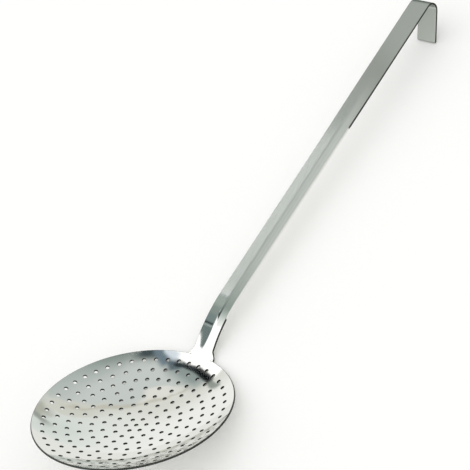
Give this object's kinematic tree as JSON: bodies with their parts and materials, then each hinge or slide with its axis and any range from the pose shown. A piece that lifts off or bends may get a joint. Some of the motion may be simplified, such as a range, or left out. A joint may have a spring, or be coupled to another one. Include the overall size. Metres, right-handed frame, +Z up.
{
  "type": "skimmer",
  "caption": "One-piece sheet steel skimmer: a shallow round bowl pierced with drain holes, a neck creased into a channel, a long flat handle and a hook bent back at its end.",
  "frame": {"origin": "where the underside of the bowl touches the surface that the skimmer lies on", "axes": "+Z up from that surface, +X along the skimmer towards the hook"},
  "size_m": [0.6468, 0.2018, 0.0814],
  "materials": {
    "stainless_steel": "bowl and neck polished to a mirror, handle and hook satin"
  },
  "bodies": {
    "root": {"skimmer": "stainless_steel"}
  },
  "joints": []
}
